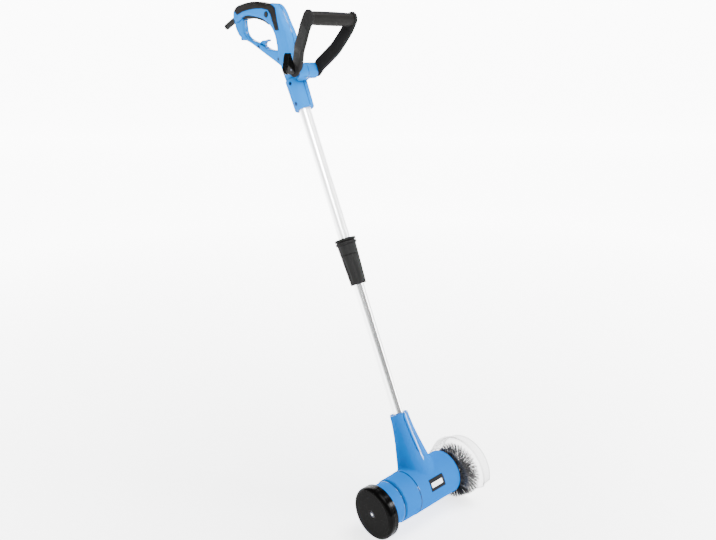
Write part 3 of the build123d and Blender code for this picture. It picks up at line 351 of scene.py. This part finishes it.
def strandFinish(name, look):
    material, wire, shader = startMaterial(name)
    at = pointOf(wire)
    side = wire.node("SeparateXYZ", {}, {0: at})
    across = vectorOf(wire, "MULTIPLY", vectorOf(wire, "SUBTRACT", at, brushHead), (0, 1, 1))
    outward = rampOf(wire, side, look["endX"])
    tips = rampOf(wire, vectorOf(wire, "LENGTH", across), look["endR"])
    grain = grainOf(wire, placeOf(wire), look["fleck"], look["fleckDetail"])
    painted_glints = rampOf(wire, grain, look["glintSpan"])
    tone = wire.node("NewGeometry", out="Random Per Island")  # one random value for each wire
    # painted glints: pale flecks on the outer tips of the wires
    pale = outward * tips * painted_glints * tone ** look["tonePower"]
    wire.feed(shader, {
        "Base Color": mixColour(wire, pale, look["dark"], look["pale"]),
        "Roughness": tone * look["roughSwing"] + look["rough"],
        "Metallic": (tone > look["metalFrom"]) * look["metal"],
    })
    return material


# nodes that look different from the rest of their slot
otherFinish = {
    "handle_blue": ("handle_shell_left", "handle_shell_right"),
    "head_blue": ("motor_housing", "end_cap", "wheel_carrier"),
    "dark_steel": ("handle_screws", "neck_screw", "lever_pin", "pivot_bolt", "lever_washer",
                   "wheel_axle"),
    "tube_bright": ("lower_tube",),
    "frame_black": ("front_handle_frame",),
    "wheel_black": ("wheel",),
}
finishOf = {slot: solidFinish(slot, look) for slot, look in finishes.items()}
finishOf["clear_guard"] = clearFinish("clear_guard", guard)
finishOf["bristle_dark"] = strandFinish("bristle_dark", strands)
slotOf = {entry["node"]: entry["material_slot"] for entry in frame["record"]["subparts"]}
for finish, names in otherFinish.items():
    slotOf.update({name: finish for name in names})
for name, thing in nodes.items():
    thing.data.materials.clear()
    thing.data.materials.append(finishOf[slotOf[name]])
print("finishes:", len(finishOf))


def newThing(name, mesh, material):
    thing = bpy.data.objects.new(name, mesh)
    bpy.context.scene.collection.objects.link(thing)
    mesh.materials.append(material)
    return thing


def addMesh(name, verts, faces, material, body):
    mesh = bpy.data.meshes.new(name)
    mesh.from_pydata([tuple(v) for v in verts], [], faces)
    mesh.update()
    thing = newThing(name, mesh, material)
    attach(thing, body)
    return thing


def aroundAxis(centre, x, radius, angle):
    return centre + Vector((x, radius * math.cos(angle), radius * math.sin(angle)))


def turned(centre, profile, sides):  # a closed profile of x and radius, turned about X
    verts, faces, count = [], [], len(profile)
    for k in range(sides):
        verts += [aroundAxis(centre, x, r, 2 * math.pi * k / sides) for x, r in profile]
        a, b = k * count, ((k + 1) % sides) * count
        faces += [(a + j, b + j, b + (j + 1) % count, a + (j + 1) % count) for j in range(count)]
    return verts, faces


# the round brush: tufts of fine wires on a backing ring
brush = {
    "start": 0.0885, "length": 0.042, "hubR": 0.024, "backR": 0.027, "backSoft": 0.0008,
    "backSides": 96, "nearR": 0.055, "tipR": 0.063, "rows": 11, "tufts": 38, "tuftR": 0.0009,
    "tuftSwing": 0.0026, "tuftEnds": (-0.8, 0.4), "wires": 9, "wireR": 0.00027, "wireRings": 5,
    "wireSides": 3, "rootSunk": 0.001, "fan": 1.2, "splay": 0.0016, "bend": 0.0012,
    "lengthSwing": 0.0012, "lengthEnds": (-1, 0.4), "seed": 5,
}


def backingRing(look):
    x0, x1, soft = look["start"], look["start"] + look["length"], look["backSoft"]
    hub, rim = look["hubR"], look["backR"]
    profile = [(x0, hub), (x0, rim - soft), (x0 + soft, rim)]
    profile += [(x1 - soft, rim), (x1, rim - soft), (x1, hub)]
    return turned(brushHead, profile, look["backSides"])


def addWire(look, verts, faces, draw, x, angle, reach):
    spin, far = draw.uniform(0, 2 * math.pi), look["tuftR"] * math.sqrt(draw.random())
    baseX, baseT = far * math.cos(spin), far * math.sin(spin)
    leanX = baseX * look["fan"] + draw.uniform(-1, 1) * look["splay"]
    leanT = baseT * look["fan"] + draw.uniform(-1, 1) * look["splay"]
    bendX, bendT = draw.uniform(-1, 1) * look["bend"], draw.uniform(-1, 1) * look["bend"]
    root = look["backR"] - look["rootSunk"]
    tip = reach + draw.uniform(*look["lengthEnds"]) * look["lengthSwing"]
    first, rings, sides, thick = len(verts), look["wireRings"], look["wireSides"], look["wireR"]
    for k in range(rings):
        t = k / (rings - 1)
        r = root + t * (tip - root)
        side = baseT + leanT * t + bendT * math.sin(math.pi * t)
        along = x + baseX + leanX * t + bendX * math.sin(math.pi * t)
        for c in range(sides):
            turn = spin + 2 * math.pi * c / sides
            around = angle + (side + thick * math.sin(turn)) / r
            verts.append(aroundAxis(brushHead, along + thick * math.cos(turn), r, around))
    for k in range(rings - 1):
        a, b = first + sides * k, first + sides * (k + 1)
        faces += [(a + c, a + (c + 1) % sides, b + (c + 1) % sides, b + c) for c in range(sides)]
    last = first + sides * (rings - 1)
    faces += [tuple(range(first + sides - 1, first - 1, -1)), tuple(range(last, last + sides))]


def makeBrush(look):
    draw = random.Random(look["seed"])
    verts, faces = backingRing(look)
    pitch = look["length"] / look["rows"]
    for row in range(look["rows"]):
        x = look["start"] + (row + 0.5) * pitch
        reach = look["nearR"] + (look["tipR"] - look["nearR"]) * row / (look["rows"] - 1)
        for k in range(look["tufts"]):  # every other row is set half a tuft round
            angle = 2 * math.pi * (k + 0.5 * (row % 2)) / look["tufts"]
            tip = reach + draw.uniform(*look["tuftEnds"]) * look["tuftSwing"]
            for _ in range(look["wires"]):
                addWire(look, verts, faces, draw, x, angle, tip)
    material = finishOf["bristle_dark"]
    thing = addMesh("brush_wires", verts, faces, material, "spindle")
    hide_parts("bristles")


makeBrush(brush)
print("brush: wires done")

# the plain finish of the small trim
trim = {"grain": 1400, "rough": 0.3, "roughSwing": 0.15, "gloss": 0.05}


def trimFinish(name, colour, shade):
    material, wire, shader = startMaterial(name)
    grain = grainOf(wire, placeOf(wire), trim["grain"])
    wire.feed(shader, {
        "Base Color": mixColour(wire, grain, shade, colour),
        "Roughness": grain * trim["roughSwing"] + trim["rough"],
        "Specular IOR Level": trim["gloss"],
    })
    return material


# the blank plate on the barrel: a dark frame with a pale empty field, angles about the motor axis
plate = {
    "barrelR": 0.0504, "thick": 0.0004, "sunk": 0.0003, "fieldLift": 0.0001,
    "corner": 0.0014, "cornerSteps": 6, "strips": 14,
    "frameX": (-0.0159, 0.0290), "frameAngle": (136.4, 167.1),
    "frameColour": (0.002, 0.0025, 0.004), "frameShade": (0.0015, 0.002, 0.003),
    "fieldX": (-0.0123, 0.0223), "fieldAngle": (146.4, 158.4),
    "fieldColour": grey(0.80), "fieldShade": (0.72, 0.72, 0.73),
}


def plateSide(look, width, height):  # points up the right side, and where each strip ends
    corner, steps, strips = look["corner"], look["cornerSteps"], look["strips"]
    side, ends = [], [0]
    for start, middle in ((270, corner - height / 2), (0, height / 2 - corner)):
        for k in range(steps + 1):
            turn = math.radians(start + 90 * k / steps)
            side.append((width / 2 - corner + corner * math.cos(turn),
                         middle + corner * math.sin(turn)))
    for k in range(1, strips):
        v = height * (k / strips - 0.5)
        above = next(j for j, point in enumerate(side) if point[1] > v)
        (u0, v0), (u1, v1) = side[above - 1:above + 1]
        side.insert(above, (u0 + (u1 - u0) * (v - v0) / (v1 - v0), v))
        ends.append(above)
    return side, ends + [len(side) - 1]


def curvedPlate(name, look, part, low, high, material):
    x0, x1 = look[part + "X"]
    a0, a1 = [math.radians(a) for a in look[part + "Angle"]]
    side, ends = plateSide(look, x1 - x0, (a1 - a0) * look["barrelR"])
    outline = side + [(-u, v) for u, v in reversed(side)]
    verts, count = [], len(outline)
    for lift in (low, high):
        for u, v in outline:
            angle = (a0 + a1) / 2 + v / look["barrelR"]
            verts.append(aroundAxis(headPoint, (x0 + x1) / 2 + u, look["barrelR"] + lift, angle))
    faces = [(k, count + k, count + (k + 1) % count, (k + 1) % count) for k in range(count)]
    for s, e in zip(ends, ends[1:]):  # flat strips that follow the barrel, below and on top
        strip = [*range(s, e + 1), *range(count - 1 - e, count - s)]
        faces += [tuple(strip), tuple(count + k for k in reversed(strip))]
    addMesh(name, verts, faces, material, "lower_pole")


curvedPlate("plate_frame", plate, "frame", -plate["sunk"], plate["thick"],
            trimFinish("plate_dark", plate["frameColour"], plate["frameShade"]))
curvedPlate("plate_field", plate, "field", 0.0, plate["thick"] + plate["fieldLift"],
            trimFinish("plate_pale", plate["fieldColour"], plate["fieldShade"]))
print("plate: done")

# thin dark rings in the joints round the head, painted shade in their gaps, from x to x at a
# radius, and the bright end of the wheel's axle
joints = {
    "places": [(-0.0503, -0.0487, 0.05045), (-0.0989, -0.0966, 0.0460)], "thick": 0.0006,
    "sides": 128, "colour": (0.0003, 0.008, 0.028), "shade": (0.0003, 0.006, 0.022),
    "axleX": -0.1539, "axleR": 0.0027, "axleRise": 0.0006, "axleRings": 6, "axleSides": 32,
}


def makeJointShade(look):
    material = trimFinish("joint_painted_shade", look["colour"], look["shade"])
    # each ring is a dark sheet laid in a gap: painted shade
    for k, (x0, x1, outer) in enumerate(look["places"]):
        inner = outer - look["thick"]
        profile = [(x0, inner), (x0, outer), (x1, outer), (x1, inner)]
        verts, faces = turned(headPoint, profile, look["sides"])
        addMesh(f"joint_shade_ring_{k + 1}", verts, faces, material, "lower_pole")


def axleEnd(look):
    verts, faces, rings, sides = [], [], look["axleRings"], look["axleSides"]
    for k in range(rings):
        turn = math.radians(90 * k / rings)
        x, r = look["axleX"] - look["axleRise"] * math.sin(turn), look["axleR"] * math.cos(turn)
        verts += [aroundAxis(wheelHead, x, r, 2 * math.pi * c / sides) for c in range(sides)]
    for k in range(rings - 1):
        a, b = k * sides, (k + 1) * sides
        faces += [(a + c, b + c, b + (c + 1) % sides, a + (c + 1) % sides) for c in range(sides)]
    faces += [tuple(range(sides)), tuple(range(rings * sides - 1, (rings - 1) * sides - 1, -1))]
    addMesh("axle_end", verts, faces, finishOf["steel"], "lower_pole")


makeJointShade(joints)
axleEnd(joints)
print("joints: done")

# driver recesses in the screw heads, drawn as dark crosses that are painted shade: handle places
# are from the bottom of the pole socket
recess = {
    "span": 0.0040, "bar": 0.0009, "sunk": 0.0003, "proud": 0.00003,
    "colour": (0.004, 0.004, 0.005), "shade": (0.002, 0.002, 0.003),
    "gripY": 0.068, "gripZ": 0.274,
    "handle": [(-0.02169, -0.0022, 0.0085), (-0.02122, -0.0050, 0.0570),
               (-0.0151, 0.0206, 0.1293), (-0.0076, 0.0870, 0.1920),
               (0.02169, -0.0022, 0.0085), (0.02122, -0.0050, 0.0570)],
    "guardAngles": (40, 90, 140), "guardR": 0.045, "guardX": 0.088, "guardSize": 0.9,
    "neckBack": 0.0239, "neckUp": 0.1433,
}


def handlePoint(x, y, z):
    return Vector((x, 0, 0)) + (y - recess["gripY"]) * poleBack + (z - recess["gripZ"]) * poleUp


def crossRecess(name, centre, out, up, body, material, size=1.0):
    across = up.cross(out)
    s, b = recess["span"] / 2 * size, recess["bar"] / 2
    outline = [(b, b), (b, s), (-b, s), (-b, b), (-s, b), (-s, -b),
               (-b, -b), (-b, -s), (b, -s), (b, -b), (s, -b), (s, b)]
    verts, count = [], len(outline)
    for depth in (-recess["sunk"], recess["proud"]):
        verts += [centre + depth * out + u * across + v * up for u, v in outline]
    faces = [tuple(range(count - 1, -1, -1)), tuple(range(count, 2 * count))]
    faces += [(k, (k + 1) % count, count + (k + 1) % count, count + k) for k in range(count)]
    addMesh(name, verts, faces, material, body)


def makeRecesses():
    # the near-black crosses are painted shade inside the recesses
    dark = trimFinish("recess_painted_shade", recess["colour"], recess["shade"])
    for k, place in enumerate(recess["handle"]):
        out = Vector((math.copysign(1, place[0]), 0, 0))
        crossRecess(f"handle_recess_{k + 1}", handlePoint(*place), out, poleUp, "handle", dark)
    out, up = Vector((1, 0, 0)), Vector((0, 0, 1))
    for k, angle in enumerate(recess["guardAngles"]):
        at = aroundAxis(brushHead, recess["guardX"], recess["guardR"], math.radians(angle))
        crossRecess(f"guard_recess_{k + 1}", at, out, up, "lower_pole", dark, recess["guardSize"])
    at = headPoint + recess["neckBack"] * poleBack + recess["neckUp"] * poleUp
    crossRecess("neck_recess", at, poleBack, poleUp, "lower_pole", dark)


makeRecesses()
print("recesses: done")

# a pale floor that bends up behind the part and glows more the further it is from the head
stage = {
    "size": 14.0, "rise": 6.0, "bend": 3.0, "bendAt": 7.0, "bendSteps": 12,
    "away": (0.677, 0.736, 0),  # away from the camera
    "colour": grey(0.86), "shade": grey(0.8342), "grain": 6, "rough": 0.8, "gloss": 0.1,
    "glowNear": grey(2.6), "glowFar": grey(8.5), "glowSpan": (0.3, 3.0), "glow": 1.0,
}


def stageFinish(look):
    material, wire, shader = startMaterial("stage_paper")
    grain = grainOf(wire, placeOf(wire), look["grain"])
    far = rampOf(wire, vectorOf(wire, "DISTANCE", pointOf(wire), headPoint), look["glowSpan"])
    wire.feed(shader, {
        "Base Color": mixColour(wire, grain, look["shade"], look["colour"]),
        "Roughness": look["rough"],
        "Specular IOR Level": look["gloss"],
        "Emission Color": mixColour(wire, far, look["glowNear"], look["glowFar"]),
        "Emission Strength": look["glow"],
    })
    return material


def makeStage(look):
    away = Vector(look["away"]).normalized()
    side = Vector((away.y, -away.x, 0))
    profile = [(-look["size"], 0.0)]
    for k in range(look["bendSteps"] + 1):
        turn = math.radians(90 * k / look["bendSteps"])
        profile.append((look["bendAt"] + look["bend"] * math.sin(turn),
                        look["bend"] * (1 - math.cos(turn))))
    profile.append((profile[-1][0], look["rise"]))
    verts, faces = [], []
    for out, up in profile:
        for across in (-look["size"], look["size"]):
            verts.append(tuple(away * out + side * across + Vector((0, 0, cadLow.z + up))))
    for k in range(len(profile) - 1):
        faces.append((2 * k, 2 * k + 1, 2 * k + 3, 2 * k + 2))
    mesh = bpy.data.meshes.new("stage_floor")
    mesh.from_pydata(verts, [], faces)
    for face in mesh.polygons:
        face.use_smooth = True
    thing = newThing("stage_floor", mesh, stageFinish(look))


# soft studio light: places and sizes in metres, spread in degrees
sky = {"behind": 8.6, "light": 0.35}  # pale where the camera sees past the floor, dim as a light
lamps = {
    "key": {"energy": 300, "at": (0.7, -1.2, 2.2), "aim": (0, -0.5, -0.8),
            "size": (2.0, 2.0), "spread": 180},
    "strip": {"energy": 70, "at": (1.4, -2.2, -0.1), "aim": (0, -0.55, -0.6),
              "size": (0.22, 1.7), "spread": 180},
    "fill": {"energy": 7, "at": (-1.0, -0.9, 0.5), "aim": (0, -0.11, -0.22),
             "size": (0.8, 0.8), "spread": 45},
}


def makeSky(look):
    world = bpy.data.worlds.new("studio")
    bpy.context.scene.world = world
    world.use_nodes = True
    wire = Wire(world.node_tree)
    strength = wire.node("LightPath", out="Is Camera Ray") * look["behind"] + look["light"]
    backdrop = world.node_tree.nodes["Background"]
    wire.feed(backdrop, {"Color": (1, 1, 1, 1), "Strength": strength})


def addLamp(name, look):
    lamp = bpy.data.lights.new(name, "AREA")
    lamp.energy, lamp.spread, lamp.shape = look["energy"], math.radians(look["spread"]), "RECTANGLE"
    lamp.size, lamp.size_y = look["size"]
    thing = bpy.data.objects.new(name, lamp)
    bpy.context.scene.collection.objects.link(thing)
    thing.location = look["at"]
    towards = Vector(look["aim"]) - Vector(look["at"])
    thing.rotation_euler = towards.to_track_quat("-Z", "Y").to_euler()


# the camera fitted to the photograph: focal length and width in its pixels
view = {
    "focal": 705.24, "width": 716, "sensor": 36, "at": (-1.04488, -1.50092, -0.09792),
    "right": (0.73597, -0.67701, 0), "up": (0.19842, 0.21570, 0.95609),
}


def makeCamera(look):
    camera = bpy.data.cameras.new("camera")
    camera.lens = look["focal"] * look["sensor"] / look["width"]
    camera.sensor_width, camera.sensor_fit = look["sensor"], "HORIZONTAL"
    thing = bpy.data.objects.new("camera", camera)
    bpy.context.scene.collection.objects.link(thing)
    right, up = Vector(look["right"]), Vector(look["up"])
    turn = Matrix((right, up, right.cross(up))).transposed().to_4x4()
    thing.matrix_world = Matrix.Translation(look["at"]) @ turn
    bpy.context.scene.camera = thing


makeStage(stage)
makeSky(sky)
for name, lamp in lamps.items():
    addLamp(name, lamp)
makeCamera(view)
print("stage: done")
